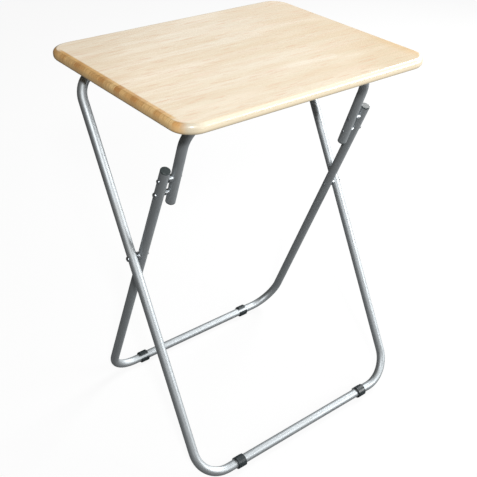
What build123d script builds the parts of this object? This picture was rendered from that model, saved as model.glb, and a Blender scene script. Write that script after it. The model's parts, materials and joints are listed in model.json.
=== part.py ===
"""Folding tray table: a board on two tubular steel leg frames that cross like scissors.

Millimetres. +Z is up, X runs along the long side of the top, and -Y is the front, where the outer frame
stands. The origin is on the floor, under the middle of the whole object. Left is -X.
"""
from build123d import *
from math import cos, hypot, radians, sin
import os

# Table top
TOP_WIDTH = 480.0
TOP_DEPTH = 380.0
TOP_THICKNESS = 17.0
TOP_HEIGHT = 655.0
TOP_CORNER_RADIUS = 35.0
TOP_UPPER_ROUND = 7.0
TOP_LOWER_ROUND = 7.5
SHEET_THICKNESS = 0.5
BACKING_INSET = 9.0

# Round steel tube
TUBE_RADIUS = 8.0
TUBE_WALL = 1.0
FLOOR_BEND_RADIUS = 55.0
OUTER_TOP_BEND_RADIUS = 42.0
INNER_TOP_BEND_RADIUS = 50.0

# Clip-on feet, which slide and turn on the bars, so the four do not sit quite alike
FOOT_LENGTH = 17.0
FOOT_WALL = 2.9
FOOT_FLAT_DEPTH = 0.3
FOOT_GAP_ANGLE = 42.0
FOOT_GAP_TILT = 37.0
FOOT_CLEARANCE = 0.05
FOOT_EDGE_CHAMFER = 0.6
OUTER_FOOT_LEFT_X = -146.0
OUTER_FOOT_RIGHT_X = 147.0
INNER_FOOT_LEFT_X = -131.0
INNER_FOOT_RIGHT_X = 121.0
INNER_FOOT_RIGHT_TURN = 12.0

# Leg frames: half widths to the tube's axis, and where their bars lie, from the middle of the top
OUTER_HALF_WIDTH = 225.5
INNER_HALF_WIDTH = 205.5
UPPER_HALF_WIDTH = 182.0
OUTER_FLOOR_BAR = -214.4
OUTER_TOP_BAR = 122.8
INNER_FLOOR_BAR = 117.8
INNER_TOP_BAR = -119.0
INNER_LAP = -85.7
BAR_DROP = 12.0
SEAM_GAP = 0.4
SLEEVE_LENGTH = 60.0
SLEEVE_WALL = 1.2
SLEEVE_CLEARANCE = 0.05

# Lap joint of the inner frame
LAP_UPPER_HEIGHT = 525.0
LAP_LOWER_HEIGHT = 498.0
LAP_LOWER_TUBE_END = 543.0
LAP_UPPER_TUBE_END = 476.5

# Rivets and their spacers
PIVOT_RADIUS = 3.0
PIVOT_RUNNING_FIT = 0.06
PIVOT_HEAD_RADIUS = 4.4
PIVOT_HEAD_HEIGHT = 2.4
LAP_RIVET_RADIUS = 2.5
UPPER_HEAD_RADIUS = 3.8
UPPER_HEAD_HEIGHT = 1.8
LOWER_HEAD_RADIUS = 4.8
LOWER_HEAD_HEIGHT = 3.0
HEAD_RIM = 0.3
SET_END_GROWTH = 0.8
SET_END_HEIGHT = 0.9
RIVET_HOLE_FIT = 0.05
MOVING_GAP = 0.3
PIVOT_SPACER_RADIUS = 6.5
UPPER_SPACER_RADIUS = 6.0
LOWER_SPACER_RADIUS = 4.4

# Plugs in the open tube ends
PLUG_STEM_LENGTH = 12.0
PLUG_STEM_CLEARANCE = 0.05
PLUG_CAP_HEIGHT = 2.4
PLUG_TOP_ROUND = 1.0
PLUG_SEAM_ROUND = 0.4

# Brackets and clips under the top
BRACKET_WIDTH = 18.0
BRACKET_WALL = 2.65
BRACKET_RUNNING_FIT = 0.1
BRACKET_PLATE = 3.0
BRACKET_PLATE_LENGTH = 46.0
BRACKET_CORNER_RADIUS = 5.0
HINGE_BRACKET_X = 150.0
SNAP_CLIP_X = 95.0
CLIP_MOUTH_ANGLE = 96.0
SCREW_SPACING = 34.0
SCREW_SHANK_RADIUS = 1.75
SCREW_HEAD_RADIUS = 3.4
SCREW_HEAD_HEIGHT = 1.8
SCREW_LENGTH = 14.0
SCREW_HOLE_FIT = 0.05
SCREW_SLOT_WIDTH = 0.9
SCREW_SLOT_LENGTH = 3.8
SCREW_SLOT_DEPTH = 1.1

# Heights and depths that follow
FOOT_RADIUS = TUBE_RADIUS + FOOT_CLEARANCE + FOOT_WALL
FLOOR_BAR_Z = FOOT_RADIUS - FOOT_FLAT_DEPTH
UNDERSIDE = TOP_HEIGHT - TOP_THICKNESS
TOP_BAR_Z = UNDERSIDE - BAR_DROP
FRONT_REACH = OUTER_FLOOR_BAR - FOOT_RADIUS
TOP_Y = -(FRONT_REACH + TOP_DEPTH / 2) / 2


class Leg:
    """The slanted line of a frame's legs, seen from the side, from a low point to a high one."""

    def __init__(self, low, high):
        self.low = low
        self.high = high
        self.length = hypot(high[0] - low[0], high[1] - low[1])
        self.along = ((high[0] - low[0]) / self.length, (high[1] - low[1]) / self.length)

    def y_at(self, z):
        return self.low[0] + self.along[0] * self.distance_to(z)

    def distance_to(self, z):
        return (z - self.low[1]) / self.along[1]

    def plane(self):
        """The frame's own plane: local X is across the table and local Y runs up the legs."""
        return Plane(origin=(0, *self.low), x_dir=(1, 0, 0), z_dir=(0, -self.along[1], self.along[0]))


def crossing(first, second):
    """Where two leg lines cross, as (y, z)."""
    slope_first = first.along[0] / first.along[1]
    slope_second = second.along[0] / second.along[1]
    z = first.low[1] + (second.y_at(first.low[1]) - first.low[0]) / (slope_first - slope_second)
    return first.y_at(z), z


OUTER_LEG = Leg((TOP_Y + OUTER_FLOOR_BAR, FLOOR_BAR_Z), (TOP_Y + OUTER_TOP_BAR, TOP_BAR_Z))
LAP_UPPER = (TOP_Y + INNER_LAP, LAP_UPPER_HEIGHT)
LOWER_LEG = Leg((TOP_Y + INNER_FLOOR_BAR, FLOOR_BAR_Z), LAP_UPPER)
UPPER_LEG = Leg(LAP_UPPER, (TOP_Y + INNER_TOP_BAR, TOP_BAR_Z))
PIVOT = crossing(OUTER_LEG, LOWER_LEG)
LAP_LOWER_Y = (LOWER_LEG.y_at(LAP_LOWER_HEIGHT) + UPPER_LEG.y_at(LAP_LOWER_HEIGHT)) / 2
LAP_LOWER = (LAP_LOWER_Y, LAP_LOWER_HEIGHT)


def cross_cylinder(x_start, x_end, place, radius):
    """A cylinder along X between two x values, at a (y, z) place."""
    middle = (x_start + x_end) / 2
    return Pos(middle, *place) * Rot(0, 90, 0) * Cylinder(radius, abs(x_end - x_start))


def upright_cylinder(x, y, z_low, z_high, radius):
    return Pos(x, y, (z_low + z_high) / 2) * Cylinder(radius, z_high - z_low)


def left_of(piece):
    """The same piece on the other side of the table."""
    return mirror(piece, about=Plane.YZ)


def both_sides(piece):
    return [piece, left_of(piece)]


def through_hole(place, radius):
    """A drill of some radius right across the table, at a (y, z) place."""
    reach = OUTER_HALF_WIDTH + 2 * TUBE_RADIUS
    return cross_cylinder(-reach, reach, place, radius)


def tube_along(path):
    """The common tube with its axis on the path."""
    ring = Circle(TUBE_RADIUS) - Circle(TUBE_RADIUS - TUBE_WALL)
    return sweep(Plane(origin=path @ 0, z_dir=path % 0) * ring, path=path)


def outer_frame_tube():
    """One tube bent at four corners, whose ends meet in the middle of the top bar."""
    half = OUTER_HALF_WIDTH
    high = OUTER_LEG.length
    seam = SEAM_GAP / 2
    path = Polyline((seam, high), (half, high), (half, 0), (-half, 0), (-half, high), (-seam, high))
    floor_corners = path.vertices().group_by(Axis.Y)[0]
    path = fillet(floor_corners, FLOOR_BEND_RADIUS)
    top_ends = path.vertices().group_by(Axis.Y)[-1].sort_by(Axis.X)
    path = fillet([top_ends[0], top_ends[-1]], OUTER_TOP_BEND_RADIUS)
    tube = tube_along(OUTER_LEG.plane() * path)
    return tube - through_hole(PIVOT, PIVOT_RADIUS + RIVET_HOLE_FIT)


def inner_frame_lower_tube():
    """A U with its bar on the floor, drilled for the pivot and the lap joint."""
    half = INNER_HALF_WIDTH
    high = LOWER_LEG.distance_to(LAP_LOWER_TUBE_END)
    corners = [(half, high), (half, 0), (-half, 0), (-half, high)]
    tube = tube_along(LOWER_LEG.plane() * FilletPolyline(*corners, radius=FLOOR_BEND_RADIUS))
    tube -= through_hole(PIVOT, PIVOT_RADIUS + PIVOT_RUNNING_FIT)
    return tube - lap_rivet_holes()


def inner_frame_upper_tube():
    """A narrower U, upside down, whose legs lie inside the ends of the lower one."""
    half = UPPER_HALF_WIDTH
    low = UPPER_LEG.distance_to(LAP_UPPER_TUBE_END)
    high = UPPER_LEG.length
    corners = [(half, low), (half, high), (-half, high), (-half, low)]
    tube = tube_along(UPPER_LEG.plane() * FilletPolyline(*corners, radius=INNER_TOP_BEND_RADIUS))
    return tube - lap_rivet_holes()


def lap_rivet_holes():
    """Holes for the two lap rivets of each side, right across the table."""
    radius = LAP_RIVET_RADIUS + RIVET_HOLE_FIT
    return through_hole(LAP_UPPER, radius) + through_hole(LAP_LOWER, radius)


def seam_sleeve():
    """A short tube inside the outer frame's top bar, under the seam."""
    outside = TUBE_RADIUS - TUBE_WALL - SLEEVE_CLEARANCE
    place = (TOP_Y + OUTER_TOP_BAR, TOP_BAR_Z)
    half = SLEEVE_LENGTH / 2
    bore = cross_cylinder(-half, half, place, outside - SLEEVE_WALL)
    return cross_cylinder(-half, half, place, outside) - bore


def rivet_head(x_seat, direction, place, radius, height):
    """A low dome on a tube's side: its flat face is at x_seat, and it stands out along direction."""
    head = cross_cylinder(x_seat, x_seat + direction * height, place, radius)
    rim = head.edges().filter_by(GeomType.CIRCLE).sort_by(Axis.X)[-1 if direction > 0 else 0]
    return fillet(rim, height - HEAD_RIM)


def rivet(x_inside, x_outside, place, radius, head_radius, head_height):
    """A rivet on the right side: a domed head outside, and the flatter end where it was set inside."""
    shank = cross_cylinder(x_inside - HEAD_RIM, x_outside + HEAD_RIM, place, radius)
    set_end = rivet_head(x_inside, -1, place, radius + SET_END_GROWTH, SET_END_HEIGHT)
    return shank + set_end + rivet_head(x_outside, 1, place, head_radius, head_height)


def pivot_rivet():
    """The rivet of the scissor, fast in the outer frame; its inner end stands off the inner frame."""
    x_inside = INNER_HALF_WIDTH - TUBE_RADIUS - MOVING_GAP
    x_outside = OUTER_HALF_WIDTH + TUBE_RADIUS
    return rivet(x_inside, x_outside, PIVOT, PIVOT_RADIUS, PIVOT_HEAD_RADIUS, PIVOT_HEAD_HEIGHT)


def lap_rivet(place, head_radius, head_height):
    """One of the two rivets that join the inner frame's tubes on the right side."""
    x_inside = UPPER_HALF_WIDTH - TUBE_RADIUS
    x_outside = INNER_HALF_WIDTH + TUBE_RADIUS
    return rivet(x_inside, x_outside, place, LAP_RIVET_RADIUS, head_radius, head_height)


def lap_rivets():
    return [
        lap_rivet(LAP_UPPER, UPPER_HEAD_RADIUS, UPPER_HEAD_HEIGHT),
        lap_rivet(LAP_LOWER, LOWER_HEAD_RADIUS, LOWER_HEAD_HEIGHT),
    ]


def spacer(x_inside, x_outside, place, radius, rivet_radius):
    """A ring round a rivet, between two tubes of the right side."""
    ring = cross_cylinder(x_inside, x_outside, place, radius)
    return ring - cross_cylinder(x_inside, x_outside, place, rivet_radius + RIVET_HOLE_FIT)


def pivot_spacer():
    x_inside = INNER_HALF_WIDTH + TUBE_RADIUS + MOVING_GAP
    x_outside = OUTER_HALF_WIDTH - TUBE_RADIUS
    return spacer(x_inside, x_outside, PIVOT, PIVOT_SPACER_RADIUS, PIVOT_RADIUS)


def lap_spacer(place, radius):
    x_inside = UPPER_HALF_WIDTH + TUBE_RADIUS
    x_outside = INNER_HALF_WIDTH - TUBE_RADIUS
    return spacer(x_inside, x_outside, place, radius, LAP_RIVET_RADIUS)


def end_plug(leg, x, z_end, direction):
    """A flat plug in a tube's open end; direction is 1 for an upper end and -1 for a lower one."""
    stem = Cylinder(TUBE_RADIUS - TUBE_WALL - PLUG_STEM_CLEARANCE, PLUG_STEM_LENGTH)
    cap = Pos(0, 0, (PLUG_STEM_LENGTH + PLUG_CAP_HEIGHT) / 2) * Cylinder(TUBE_RADIUS, PLUG_CAP_HEIGHT)
    cap = fillet(cap.edges().filter_by(GeomType.CIRCLE).sort_by(Axis.Z)[-1], PLUG_TOP_ROUND)
    cap = fillet(cap.edges().filter_by(GeomType.CIRCLE).sort_by(Axis.Z)[0], PLUG_SEAM_ROUND)
    turn = -90 * direction
    plug = Pos(0, -direction * PLUG_STEM_LENGTH / 2, 0) * Rot(turn, 0, 0) * (stem + cap)
    return leg.plane() * Pos(x, leg.distance_to(z_end), 0) * plug


def clip_foot(x, y, inward, turn=0.0):
    """An open ring snapped on a floor bar: its gap faces inward (1 is towards +Y) and up by its turn."""
    tilt = FOOT_GAP_TILT + turn
    if inward < 0:
        tilt = 180 - tilt
    sides = [radians(tilt - FOOT_GAP_ANGLE / 2), radians(tilt + FOOT_GAP_ANGLE / 2)]
    reach = 2 * FOOT_RADIUS
    gap = make_face(Polyline((0, 0), *[(reach * cos(side), reach * sin(side)) for side in sides], close=True))
    ring = extrude(Plane.YZ * Circle(FOOT_RADIUS), amount=FOOT_LENGTH / 2, both=True)
    ring = chamfer(ring.edges().filter_by(GeomType.CIRCLE), FOOT_EDGE_CHAMFER)
    ring -= extrude(Plane.YZ * (Circle(TUBE_RADIUS + FOOT_CLEARANCE) + gap), amount=FOOT_LENGTH, both=True)
    below_floor = Pos(0, 0, -FLOOR_BAR_Z - reach / 2) * Box(reach, 2 * reach, reach)
    return Pos(x, y, FLOOR_BAR_Z) * (ring - below_floor)


def board(width, depth, z_low, z_high, corner, upper_round, lower_round):
    """A flat board with rounded corners and rounded edges, centred on the top's place."""
    outline = Pos(0, TOP_Y, z_low) * RectangleRounded(width, depth, corner)
    slab = extrude(outline, amount=z_high - z_low)
    if upper_round:
        slab = fillet(slab.faces().sort_by(Axis.Z)[-1].edges(), upper_round)
    if lower_round:
        slab = fillet(slab.faces().sort_by(Axis.Z)[0].edges(), lower_round)
    return slab


def table_top():
    """The board's core, the foil round its top and edges, and the backing sheet under it."""
    whole = board(
        TOP_WIDTH, TOP_DEPTH, UNDERSIDE, TOP_HEIGHT, TOP_CORNER_RADIUS, TOP_UPPER_ROUND, TOP_LOWER_ROUND
    )
    core = board(
        TOP_WIDTH - 2 * SHEET_THICKNESS,
        TOP_DEPTH - 2 * SHEET_THICKNESS,
        UNDERSIDE + SHEET_THICKNESS,
        TOP_HEIGHT - SHEET_THICKNESS,
        TOP_CORNER_RADIUS - SHEET_THICKNESS,
        TOP_UPPER_ROUND - SHEET_THICKNESS,
        TOP_LOWER_ROUND - SHEET_THICKNESS,
    )
    backing = board(
        TOP_WIDTH - 2 * BACKING_INSET,
        TOP_DEPTH - 2 * BACKING_INSET,
        UNDERSIDE,
        UNDERSIDE + SHEET_THICKNESS,
        TOP_CORNER_RADIUS - BACKING_INSET,
        0,
        0,
    )
    foil = whole - core - backing
    for x, y in screw_places(HINGE_BRACKET_X, OUTER_TOP_BAR) + screw_places(SNAP_CLIP_X, INNER_TOP_BAR):
        pilot_radius = SCREW_SHANK_RADIUS + SCREW_HOLE_FIT
        pilot = upright_cylinder(x, y, UNDERSIDE, UNDERSIDE + SCREW_LENGTH, pilot_radius)
        core -= pilot
        backing -= pilot
    return core, foil, backing


def screw_places(x, bar):
    """The (x, y) of the four screws of a pair of brackets."""
    return [
        (side * x, TOP_Y + bar + end * SCREW_SPACING / 2)
        for side in (-1, 1)
        for end in (-1, 1)
    ]


def bracket(x, bar, mouth_angle):
    """A moulded plate with a ring for a top bar under it; a mouth angle opens the ring downwards."""
    outside = TUBE_RADIUS + BRACKET_RUNNING_FIT + BRACKET_WALL
    plate_middle = BAR_DROP - BRACKET_PLATE / 2
    profile = Circle(outside) + Pos(0, BAR_DROP / 2) * Rectangle(2 * outside, BAR_DROP)
    profile -= Circle(TUBE_RADIUS + BRACKET_RUNNING_FIT)
    if mouth_angle:
        reach = 2 * outside
        half = radians(mouth_angle / 2)
        corner = (reach * sin(half), -reach * cos(half))
        profile -= make_face(Polyline((0, 0), (-corner[0], corner[1]), corner, close=True))
    plate = Box(BRACKET_WIDTH, BRACKET_PLATE_LENGTH, BRACKET_PLATE)
    plate = fillet(plate.edges().filter_by(Axis.Z), BRACKET_CORNER_RADIUS)
    cradle = extrude(Plane.YZ * profile, amount=BRACKET_WIDTH / 2, both=True)
    body = Pos(x, TOP_Y + bar, TOP_BAR_Z) * (cradle + Pos(0, 0, plate_middle) * plate)
    for screw_x, screw_y in screw_places(x, bar):
        body -= screw_shape(screw_x, screw_y, SCREW_HOLE_FIT)
    return body


def screw_shape(x, y, growth=0.0):
    """A countersunk wood screw, head down, flush with the bracket's plate; growth makes it a hole."""
    seat = UNDERSIDE - BRACKET_PLATE
    shank_radius = SCREW_SHANK_RADIUS + growth
    shank = upright_cylinder(x, y, seat, seat + SCREW_LENGTH, shank_radius)
    head = Cone(SCREW_HEAD_RADIUS + growth, shank_radius, SCREW_HEAD_HEIGHT + growth)
    return shank + Pos(x, y, seat + (SCREW_HEAD_HEIGHT + growth) / 2) * head


def cross_recess(x, y):
    """The cross in a screw's head, open downwards."""
    bar = Box(SCREW_SLOT_LENGTH, SCREW_SLOT_WIDTH, 2 * SCREW_SLOT_DEPTH)
    return Pos(x, y, UNDERSIDE - BRACKET_PLATE) * (bar + Rot(0, 0, 90) * bar)


def screws(x, bar):
    return [screw_shape(*place) - cross_recess(*place) for place in screw_places(x, bar)]


def all_pieces():
    """Every node's name and its solids."""
    outer_bar = TOP_Y + OUTER_FLOOR_BAR
    inner_bar = TOP_Y + INNER_FLOOR_BAR
    pieces = {
        "outer_frame_tube": [outer_frame_tube()],
        "outer_frame_sleeve": [seam_sleeve()],
        "inner_frame_lower_tube": [inner_frame_lower_tube()],
        "inner_frame_upper_tube": [inner_frame_upper_tube()],
        "lap_spacers_upper": both_sides(lap_spacer(LAP_UPPER, UPPER_SPACER_RADIUS)),
        "lap_spacers_lower": both_sides(lap_spacer(LAP_LOWER, LOWER_SPACER_RADIUS)),
        "outer_foot_left": [clip_foot(OUTER_FOOT_LEFT_X, outer_bar, 1)],
        "outer_foot_right": [clip_foot(OUTER_FOOT_RIGHT_X, outer_bar, 1)],
        "inner_foot_left": [clip_foot(INNER_FOOT_LEFT_X, inner_bar, -1)],
        "inner_foot_right": [clip_foot(INNER_FOOT_RIGHT_X, inner_bar, -1, INNER_FOOT_RIGHT_TURN)],
        "hinge_screws": screws(HINGE_BRACKET_X, OUTER_TOP_BAR),
        "clip_screws": screws(SNAP_CLIP_X, INNER_TOP_BAR),
    }
    pieces["table_top_core"], pieces["table_top_foil"], pieces["table_top_backing"] = [
        [layer] for layer in table_top()
    ]
    right_pieces = {
        "pivot_rivet": [pivot_rivet()],
        "pivot_spacer": [pivot_spacer()],
        "lap_rivets": lap_rivets(),
        "lower_tube_plug": [end_plug(LOWER_LEG, INNER_HALF_WIDTH, LAP_LOWER_TUBE_END, 1)],
        "upper_tube_plug": [end_plug(UPPER_LEG, UPPER_HALF_WIDTH, LAP_UPPER_TUBE_END, -1)],
        "hinge_bracket": [bracket(HINGE_BRACKET_X, OUTER_TOP_BAR, 0)],
        "snap_clip": [bracket(SNAP_CLIP_X, INNER_TOP_BAR, CLIP_MOUTH_ANGLE)],
    }
    for name, solids in right_pieces.items():
        pieces[name + "_right"] = solids
        pieces[name + "_left"] = [left_of(solid) for solid in solids]
    return pieces


os.makedirs("parts", exist_ok=True)
for node, solids in all_pieces().items():
    export_step(solids[0] if len(solids) == 1 else Compound(children=solids), f"parts/{node}.step")
print("scissor pivot at y, z =", PIVOT)
print("top hinge at y, z =", (TOP_Y + OUTER_TOP_BAR, TOP_BAR_Z))
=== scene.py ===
import json
import math

import bpy
from mathutils import Matrix, Vector


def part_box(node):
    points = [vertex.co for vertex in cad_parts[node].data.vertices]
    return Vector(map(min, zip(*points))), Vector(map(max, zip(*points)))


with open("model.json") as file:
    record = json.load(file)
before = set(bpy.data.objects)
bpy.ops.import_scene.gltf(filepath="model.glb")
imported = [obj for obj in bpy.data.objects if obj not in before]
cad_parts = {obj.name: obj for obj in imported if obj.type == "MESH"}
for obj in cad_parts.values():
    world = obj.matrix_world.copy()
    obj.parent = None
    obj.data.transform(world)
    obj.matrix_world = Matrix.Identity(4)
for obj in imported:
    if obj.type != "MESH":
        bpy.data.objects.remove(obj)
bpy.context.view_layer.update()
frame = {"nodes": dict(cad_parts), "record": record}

# Camera: from where it looks at a point near the table's middle, in degrees and metres
CAMERA_AZIMUTH = -39.284
CAMERA_ELEVATION = 32.526
CAMERA_ROLL = 1.843
CAMERA_DISTANCE = 1.45994
CAMERA_AIM_RIGHT = 0.01065
CAMERA_AIM_HEIGHT = 0.29971
FOCAL_LENGTH_PER_WIDTH = 1.6802
SENSOR_WIDTH_MM = 36.0

# Studio: the floor and the room are white to the camera, and light the table as a dim grey room
FLOOR_SIZE = 14.0
PAPER_WHITE = (0.97, 0.97, 0.97)
ROOM_COLOUR = (0.088, 0.086, 0.077)
FLOOR_BOUNCE = (0.14, 0.14, 0.14)
FLOOR_PAPER = (0.06, 0.06, 0.06)
FLOOR_GLOW = 0.93

# Soft boxes: azimuth and elevation in degrees, width and height in metres, power in watts, colour
LAMP_DISTANCE = 2.6
NEUTRAL_LIGHT = (1.0, 1.0, 1.0)
COOL_LIGHT = (0.88, 0.94, 1.0)
LAMPS = {
    "key_box": (-31.0, 37.5, 0.2, 0.2, 53.0, NEUTRAL_LIGHT),
    "right_box": (48.0, 16.0, 1.7, 0.9, 72.0, NEUTRAL_LIGHT),
    "back_right_box": (100.0, 30.0, 1.0, 0.8, 100.0, NEUTRAL_LIGHT),
    "back_box": (141.0, 33.0, 1.1, 0.8, 2.3, COOL_LIGHT),
}

# Table top's sheet of printed wood: sizes and places in metres
STRIP_WIDTH = 0.0185
STRIP_LENGTH = 0.42
END_STRIP_WIDTH = 0.01443
TOP_HALF_WIDTH = 0.24
END_BAND_START = 0.2262
END_BAND_BLUR = 0.0035
END_BAND_HALF_LENGTH = 0.146
END_BAND_FADED = 0.168

# The sheet's colours, and the painted light and shade laid over them, as they look on a screen, 0 to 255
STRIP_DARK = (216, 200, 172)
STRIP_MIDDLE = (220, 207, 183)
STRIP_LIGHT = (224, 213, 193)
RIGHT_PAINTED_SHADE = (206, 186, 154)
REAR_LEFT_PAINTED_LIGHT = (235, 220, 196)
REAR_TINT = (230, 222, 208)
FRONT_TINT = (213, 198, 170)
GRAIN_TINT = (212, 187, 158)
CLOUD_TINT = (240, 231, 216)
BLUSH_TINT = (222, 193, 170)
DASH_TINT = (208, 168, 138)
CORNER_TINT = (210, 174, 120)
SIDE_COLOUR = (209, 199, 179)
LOW_SIDE_PAINTED_SHADE = (205, 189, 158)
ROUND_PAINTED_SHADE = (200, 168, 128)
END_DARK = (202, 146, 88)
END_MIDDLE = (226, 178, 115)
END_LIGHT = (243, 207, 148)
END_LINE_TINT = (172, 128, 78)
END_LOW_PAINTED_LIGHT = (246, 210, 152)
END_FLAT_PAINTED_SHADE = (168, 134, 84)


# ---- Node materials ---------------------------------------------------------------------------------

class Finish:
    """A material and short calls for the nodes that its pattern is made of."""

    def __init__(self, name):
        self.material = bpy.data.materials.new(name)
        self.material.use_nodes = True
        self.tree = self.material.node_tree
        self.shader = self.tree.nodes["Principled BSDF"]
        self.coords = self.tree.nodes.new("ShaderNodeTexCoord")

    def put(self, socket, value):
        """Links a node's output to a socket, or writes a plain value there."""
        if isinstance(value, bpy.types.NodeSocket):
            self.tree.links.new(value, socket)
        elif isinstance(value, tuple) and len(value) == 3 and socket.type == "RGBA":
            socket.default_value = (*value, 1.0)
        elif value is not None:
            socket.default_value = value

    def node(self, kind, *values, **settings):
        made = self.tree.nodes.new("ShaderNode" + kind)
        for key, value in settings.items():
            setattr(made, key, value)
        for socket, value in zip(made.inputs, values):
            self.put(socket, value)
        return made

    def place(self):
        """The point's place in the table's frame, in metres; it moves with the piece."""
        return self.coords.outputs["Object"]

    def parts(self, vector):
        return self.node("SeparateXYZ", vector).outputs

    def vector(self, x, y, z=0.0):
        return self.node("CombineXYZ", x, y, z).outputs[0]

    def stretched(self, x, y, z):
        """The place, scaled along each axis, for a pattern that runs along one of them."""
        return self.node("VectorMath", self.place(), (x, y, z), operation="MULTIPLY").outputs[0]

    def math(self, operation, *values):
        return self.node("Math", *values, operation=operation).outputs[0]

    def noise(self, vector, scale=1.0, detail=3.0, roughness=0.55):
        made = self.node("TexNoise")
        self.put(made.inputs["Vector"], vector)
        self.put(made.inputs["Scale"], scale)
        self.put(made.inputs["Detail"], detail)
        self.put(made.inputs["Roughness"], roughness)
        return made.outputs["Fac"]

    def random(self, vector):
        """A random number from 0 to 1 for each whole-number place."""
        return self.node("TexWhiteNoise", vector, noise_dimensions="3D").outputs["Value"]

    def remap(self, value, low, high, to_low, to_high):
        """The value's range low..high carried to to_low..to_high, smoothly and held at the ends."""
        made = self.node("MapRange", value, low, high, to_low, to_high, interpolation_type="SMOOTHSTEP")
        return made.outputs[0]

    def ramp(self, factor, *stops):
        made = self.node("ValToRGB", factor)
        ramp = made.color_ramp
        while len(ramp.elements) < len(stops):
            ramp.elements.new(1.0)
        for element, (position, colour) in zip(ramp.elements, stops):
            element.position = position
            element.color = (*colour, 1.0)
        return made.outputs[0]

    def mix(self, factor, first, second):
        return self.node("MixRGB", factor, first, second).outputs[0]

    def bump(self, height, strength, distance):
        made = self.node("Bump")
        self.put(made.inputs["Strength"], strength)
        self.put(made.inputs["Distance"], distance)
        self.put(made.inputs["Height"], height)
        return made.outputs["Normal"]

    def surface(self, colour, roughness, normal=None, **constants):
        """Sets the shader: the colour, roughness and normal may vary over the surface, the rest not."""
        self.put(self.shader.inputs["Base Color"], colour)
        self.put(self.shader.inputs["Roughness"], roughness)
        self.put(self.shader.inputs["Normal"], normal)
        for key, value in constants.items():
            self.shader.inputs[key.replace("_", " ")].default_value = value
        return self.material


def srgb(colour):
    """A colour given as it looks on a screen, 0 to 255, in the shader's linear numbers."""
    def linear(level):
        level /= 255.0
        return level / 12.92 if level <= 0.04045 else ((level + 0.055) / 1.055) ** 2.4

    return tuple(linear(level) for level in colour)


def beech_strips(f, x, y):
    """The bare tone of each printed strip, paler towards the rear and warmer at the front; painted light
    makes the rear left paler still, and painted shade makes the right half darker and warmer towards its
    end.
    """
    row = f.math("FLOOR", f.math("DIVIDE", y, STRIP_WIDTH))
    shift = f.random(f.vector(row, 7.0))
    block = f.math("FLOOR", f.math("ADD", f.math("DIVIDE", x, STRIP_LENGTH), shift))
    tone = f.random(f.vector(block, row, 1.0))
    strips = f.ramp(tone, (0.0, srgb(STRIP_DARK)), (0.5, srgb(STRIP_MIDDLE)), (1.0, srgb(STRIP_LIGHT)))

    # Painted shade: the right half of the sheet darker and warmer towards its end
    right_painted_shade = f.remap(x, 0.00, TOP_HALF_WIDTH, 0.0, 0.55)
    # Painted light: the rear left of the sheet paler, fading out towards the front
    left_painted_light = f.remap(x, 0.02, -TOP_HALF_WIDTH, 0.0, 0.55)
    off_front = f.remap(y, -0.15, 0.02, 0.0, 1.0)
    rearward = f.remap(y, 0.00, 0.21, 0.0, 0.35)
    frontward = f.remap(y, 0.00, -0.17, 0.0, 0.45)
    # Painted shade on the right half
    strips = f.mix(right_painted_shade, strips, srgb(RIGHT_PAINTED_SHADE))
    # Painted light on the rear left
    strips = f.mix(f.math("MULTIPLY", left_painted_light, off_front), strips, srgb(REAR_LEFT_PAINTED_LIGHT))
    strips = f.mix(rearward, strips, srgb(REAR_TINT))
    return f.mix(frontward, strips, srgb(FRONT_TINT))


def beech_top(f, x, y, streak):
    """The strips with their streaks, clouds, pink patches and dashes, and a tan front right corner."""
    cloud = f.noise(f.stretched(6.0, 22.0, 22.0), detail=2.0)
    blush = f.noise(f.stretched(11.0, 46.0, 46.0), detail=2.0)
    dashes = f.noise(f.stretched(26.0, 330.0, 30.0), detail=1.0)
    grain = f.math("MULTIPLY", f.remap(streak, 0.36, 0.66, 0.0, 1.0), 0.42)
    right_end = f.remap(x, 0.205, 0.236, 0.0, 0.55)
    front_half = f.remap(y, 0.02, -0.13, 0.0, 1.0)

    top = f.mix(grain, beech_strips(f, x, y), srgb(GRAIN_TINT))
    top = f.mix(f.remap(cloud, 0.50, 0.74, 0.0, 0.30), top, srgb(CLOUD_TINT))
    top = f.mix(f.remap(blush, 0.60, 0.78, 0.0, 0.40), top, srgb(BLUSH_TINT))
    top = f.mix(f.remap(dashes, 0.60, 0.70, 0.0, 0.50), top, srgb(DASH_TINT))
    return f.mix(f.math("MULTIPLY", right_end, front_half), top, srgb(CORNER_TINT))


def beech_sides(f, top, edge, upward):
    """The top's colour, carried over the rounded edge to the plainer long sides, with painted shade
    darkening the downward-facing part of the edge and a painted shade line where the flat starts to
    round.
    """
    # Painted shade: the edge darker where it turns to face down
    low_edge_painted_shade = f.remap(upward, 0.50, -0.40, 0.0, 0.75)
    sides = f.mix(low_edge_painted_shade, f.mix(edge, top, srgb(SIDE_COLOUR)), srgb(LOW_SIDE_PAINTED_SHADE))
    # Painted shade: a darker line where the flat top starts to round over
    past_flat = f.remap(upward, 0.985, 0.999, 1.0, 0.0)
    before_side = f.remap(upward, 0.90, 0.97, 0.0, 1.0)
    painted_shade_at_round = f.math("MULTIPLY", before_side, past_flat)
    return f.mix(f.math("MULTIPLY", painted_shade_at_round, 0.18), sides, srgb(ROUND_PAINTED_SHADE))


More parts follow.
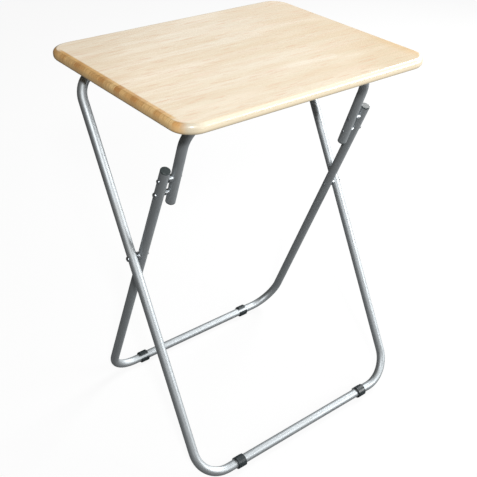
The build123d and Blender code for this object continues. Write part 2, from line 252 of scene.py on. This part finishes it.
def beech_ends(f, y, upward):
    """The darker blocks of the short edges, with fine lines; painted light makes them lighter below, and
    painted shade makes them duller on the flat.
    """
    end_row = f.math("FLOOR", f.math("DIVIDE", y, END_STRIP_WIDTH))
    end_tone = f.random(f.vector(end_row, 3.0, 5.0))
    end_lines = f.noise(f.stretched(60.0, 420.0, 30.0), detail=3.0)
    ends = f.ramp(end_tone, (0.0, srgb(END_DARK)), (0.4, srgb(END_MIDDLE)), (1.0, srgb(END_LIGHT)))
    ends = f.mix(f.remap(end_lines, 0.42, 0.66, 0.0, 0.50), ends, srgb(END_LINE_TINT))
    # Painted light: the lower part of the short edges lighter
    ends = f.mix(f.remap(upward, 0.70, -0.30, 0.0, 0.60), ends, srgb(END_LOW_PAINTED_LIGHT))
    # Painted shade: the band darker where it lies on the well-lit flat top
    return f.mix(f.remap(upward, 0.90, 0.99, 0.0, 0.50), ends, srgb(END_FLAT_PAINTED_SHADE))


def printed_beech():
    """Glossy foil with strips of pale beech along X, butt jointed, whose ends show at the short edges."""
    f = Finish("printed_beech")
    x, y, _ = f.parts(f.place())
    across, out, upward = f.parts(f.coords.outputs["Normal"])
    squares = f.math("ADD", f.math("MULTIPLY", across, across), f.math("MULTIPLY", out, out))
    level = f.math("SQRT", squares)
    sideways = f.math("DIVIDE", f.math("ABSOLUTE", across), f.math("MAXIMUM", level, 0.001))
    edge = f.remap(level, 0.02, 0.40, 0.0, 1.0)
    streak = f.noise(f.stretched(13.0, 210.0, 210.0), detail=3.0, roughness=0.55)

    near_end = f.remap(x, -END_BAND_START, -END_BAND_START - END_BAND_BLUR, 0.0, 1.0)
    off_middle = f.math("ABSOLUTE", f.math("SUBTRACT", y, aim_point().y))
    off_corner = f.remap(off_middle, END_BAND_FADED, END_BAND_HALF_LENGTH, 0.0, 1.0)
    end_band = f.math("MULTIPLY", near_end, off_corner)
    end_edge = f.math("MULTIPLY", edge, f.remap(sideways, 0.62, 0.93, 0.0, 1.0))

    sides = beech_sides(f, beech_top(f, x, y, streak), edge, upward)
    colour = f.mix(f.math("MAXIMUM", end_band, end_edge), sides, beech_ends(f, y, upward))
    roughness = f.remap(streak, 0.3, 0.7, 0.24, 0.31)
    relief = f.bump(streak, 0.04, 0.0004)
    return f.surface(colour, roughness, relief, Coat_Weight=0.05, Coat_Roughness=0.12)


def satin_silver():
    """Silver lacquer on steel tube: fine flake, faint orange peel, a little grime."""
    f = Finish("satin_silver")
    flake = f.noise(f.place(), scale=1900.0, detail=1.0)
    peel = f.noise(f.place(), scale=420.0, detail=2.0)
    smudge = f.noise(f.place(), scale=16.0, detail=4.0)
    silver = f.mix(f.remap(flake, 0.3, 0.7, 0.0, 1.0), srgb((163, 168, 171)), srgb((171, 176, 179)))
    colour = f.mix(f.remap(smudge, 0.52, 0.8, 0.0, 0.30), silver, srgb((156, 155, 149)))
    roughness = f.remap(smudge, 0.3, 0.7, 0.53, 0.59)
    return f.surface(colour, roughness, f.bump(peel, 0.008, 0.0002), Metallic=0.88)


def plated_steel():
    """Bright zinc plate on the rivets, spacers and screws."""
    f = Finish("plated_steel")
    brushed = f.noise(f.stretched(1800.0, 300.0, 300.0), detail=2.0)
    stain = f.noise(f.place(), scale=90.0, detail=3.0)
    colour = f.mix(f.remap(stain, 0.5, 0.8, 0.0, 0.5), srgb((172, 177, 181)), srgb((138, 140, 140)))
    roughness = f.remap(brushed, 0.3, 0.7, 0.28, 0.40)
    return f.surface(colour, roughness, f.bump(brushed, 0.08, 0.0001), Metallic=1.0)


def plain_steel():
    """Dull steel of the sleeve inside the outer frame's seam, with marks of its drawing."""
    f = Finish("plain_steel")
    marks = f.noise(f.place(), scale=700.0, detail=3.0)
    colour = f.mix(f.remap(marks, 0.35, 0.7, 0.0, 1.0), srgb((150, 152, 154)), srgb((112, 112, 112)))
    roughness = f.remap(marks, 0.3, 0.7, 0.22, 0.36)
    return f.surface(colour, roughness, f.bump(marks, 0.15, 0.0001), Metallic=0.9)


def moulded_plastic(name, colour, worn, roughness, **constants):
    """Moulded plastic with a fine spark-eroded texture and paler rubbed spots."""
    f = Finish(name)
    grain = f.noise(f.place(), scale=1500.0, detail=2.0)
    rub = f.noise(f.place(), scale=120.0, detail=4.0)
    tint = f.mix(f.remap(rub, 0.50, 0.80, 0.0, 0.6), colour, worn)
    rough = f.remap(rub, 0.3, 0.7, roughness - 0.06, roughness + 0.08)
    return f.surface(tint, rough, f.bump(grain, 0.20, 0.00015), **constants)


def backing_paper():
    """The plain pale sheet glued under the board: fibres and faint roller marks."""
    f = Finish("backing_paper")
    fibres = f.noise(f.stretched(90.0, 500.0, 500.0), detail=4.0)
    patches = f.noise(f.place(), scale=9.0, detail=3.0)
    paper = f.mix(f.remap(fibres, 0.35, 0.7, 0.0, 0.6), srgb((190, 176, 150)), srgb((168, 153, 126)))
    colour = f.mix(f.remap(patches, 0.4, 0.75, 0.0, 0.35), paper, srgb((200, 189, 167)))
    return f.surface(colour, 0.62, f.bump(fibres, 0.18, 0.0003))


def wood_fibre():
    """Medium fibreboard, seen only in the screws' pilot holes."""
    f = Finish("wood_fibre")
    fibres = f.noise(f.place(), scale=900.0, detail=4.0)
    colour = f.mix(f.remap(fibres, 0.3, 0.7, 0.0, 1.0), srgb((168, 132, 92)), srgb((128, 96, 62)))
    return f.surface(colour, 0.85, f.bump(fibres, 0.4, 0.0004))


def dress_nodes():
    """Gives every CAD node the finish of its slot in the record."""
    finishes = {
        "beech_foil": printed_beech(),
        "fibreboard": wood_fibre(),
        "backing_sheet": backing_paper(),
        "silver_tube": satin_silver(),
        "bare_steel": plain_steel(),
        "bright_metal": plated_steel(),
        "black_plastic": moulded_plastic("black_plastic", srgb((27, 35, 38)), srgb((44, 53, 56)), 0.42),
        "grey_plastic": moulded_plastic(
            "grey_plastic", srgb((60, 66, 67)), srgb((86, 91, 91)), 0.36, Specular_IOR_Level=0.22
        ),
    }
    for subpart in frame["record"]["subparts"]:
        node = frame["nodes"][subpart["node"]]
        node.data.materials.clear()
        node.data.materials.append(finishes[subpart["material_slot"]])


# ---- Studio -----------------------------------------------------------------------------------------

def outward(azimuth, elevation):
    """The unit vector from the table towards a viewer or lamp. Azimuth 0 is in front, 90 to the right."""
    turn = math.radians(azimuth)
    tilt = math.radians(elevation)
    return Vector((math.sin(turn) * math.cos(tilt), -math.cos(turn) * math.cos(tilt), math.sin(tilt)))


def aim_point():
    low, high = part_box("table_top_foil")
    return Vector((CAMERA_AIM_RIGHT, (low.y + high.y) / 2, CAMERA_AIM_HEIGHT))


def facing(location, target, roll=0.0):
    """The matrix of something at location whose -Z looks at target, turned by roll about that line."""
    back = (location - target).normalized()
    right = Vector((0, 0, 1)).cross(back).normalized()
    up = back.cross(right)
    turned = Matrix((right, up, back)).transposed() @ Matrix.Rotation(math.radians(roll), 3, "Z")
    return Matrix.Translation(location) @ turned.to_4x4()


def add_camera():
    data = bpy.data.cameras.new("camera")
    data.sensor_width = SENSOR_WIDTH_MM
    data.lens = FOCAL_LENGTH_PER_WIDTH * SENSOR_WIDTH_MM
    camera = bpy.data.objects.new("camera", data)
    bpy.context.scene.collection.objects.link(camera)
    target = aim_point()
    location = target + CAMERA_DISTANCE * outward(CAMERA_AZIMUTH, CAMERA_ELEVATION)
    camera.matrix_world = facing(location, target, CAMERA_ROLL)
    bpy.context.scene.camera = camera


def add_lamp(name, azimuth, elevation, width, height, power, colour):
    """A rectangular soft box that looks at the table's middle."""
    data = bpy.data.lights.new(name, "AREA")
    data.shape = "RECTANGLE"
    data.size = width
    data.size_y = height
    data.energy = power
    data.color = colour
    lamp = bpy.data.objects.new(name, data)
    bpy.context.scene.collection.objects.link(lamp)
    target = aim_point()
    lamp.matrix_world = facing(target + LAMP_DISTANCE * outward(azimuth, elevation), target)


def add_world():
    """A dim even room, which only the camera sees as white."""
    world = bpy.data.worlds.new("studio")
    world.use_nodes = True
    tree = world.node_tree
    background = tree.nodes["Background"]
    seen = tree.nodes.new("ShaderNodeLightPath").outputs["Is Camera Ray"]
    colour = tree.nodes.new("ShaderNodeMixRGB")
    tree.links.new(seen, colour.inputs[0])
    colour.inputs[1].default_value = (*ROOM_COLOUR, 1.0)
    colour.inputs[2].default_value = (*PAPER_WHITE, 1.0)
    tree.links.new(colour.outputs[0], background.inputs["Color"])
    # The room is even, so it isn't sampled as a lamp
    world.cycles.sampling_method = "NONE"
    bpy.context.scene.world = world


def add_floor():
    """Paper that the camera sees white and evenly lit, and that bounces light as a grey floor does."""
    bpy.ops.mesh.primitive_plane_add(size=FLOOR_SIZE)
    floor = bpy.context.object
    floor.name = "floor"
    f = Finish("floor_paper")
    seen = f.node("LightPath").outputs["Is Camera Ray"]
    f.surface(f.mix(seen, FLOOR_BOUNCE, FLOOR_PAPER), 1.0, Specular_IOR_Level=0.0)
    f.put(f.shader.inputs["Emission Color"], PAPER_WHITE)
    f.put(f.shader.inputs["Emission Strength"], f.math("MULTIPLY", seen, FLOOR_GLOW))
    # Only the camera sees the glow, so it isn't sampled as a lamp
    f.material.cycles.emission_sampling = "NONE"
    floor.data.materials.append(f.material)


def add_studio():
    add_world()
    add_floor()
    bpy.context.scene.view_settings.view_transform = "Standard"
    for name, settings in LAMPS.items():
        add_lamp(name, *settings)


dress_nodes()
add_camera()
add_studio()
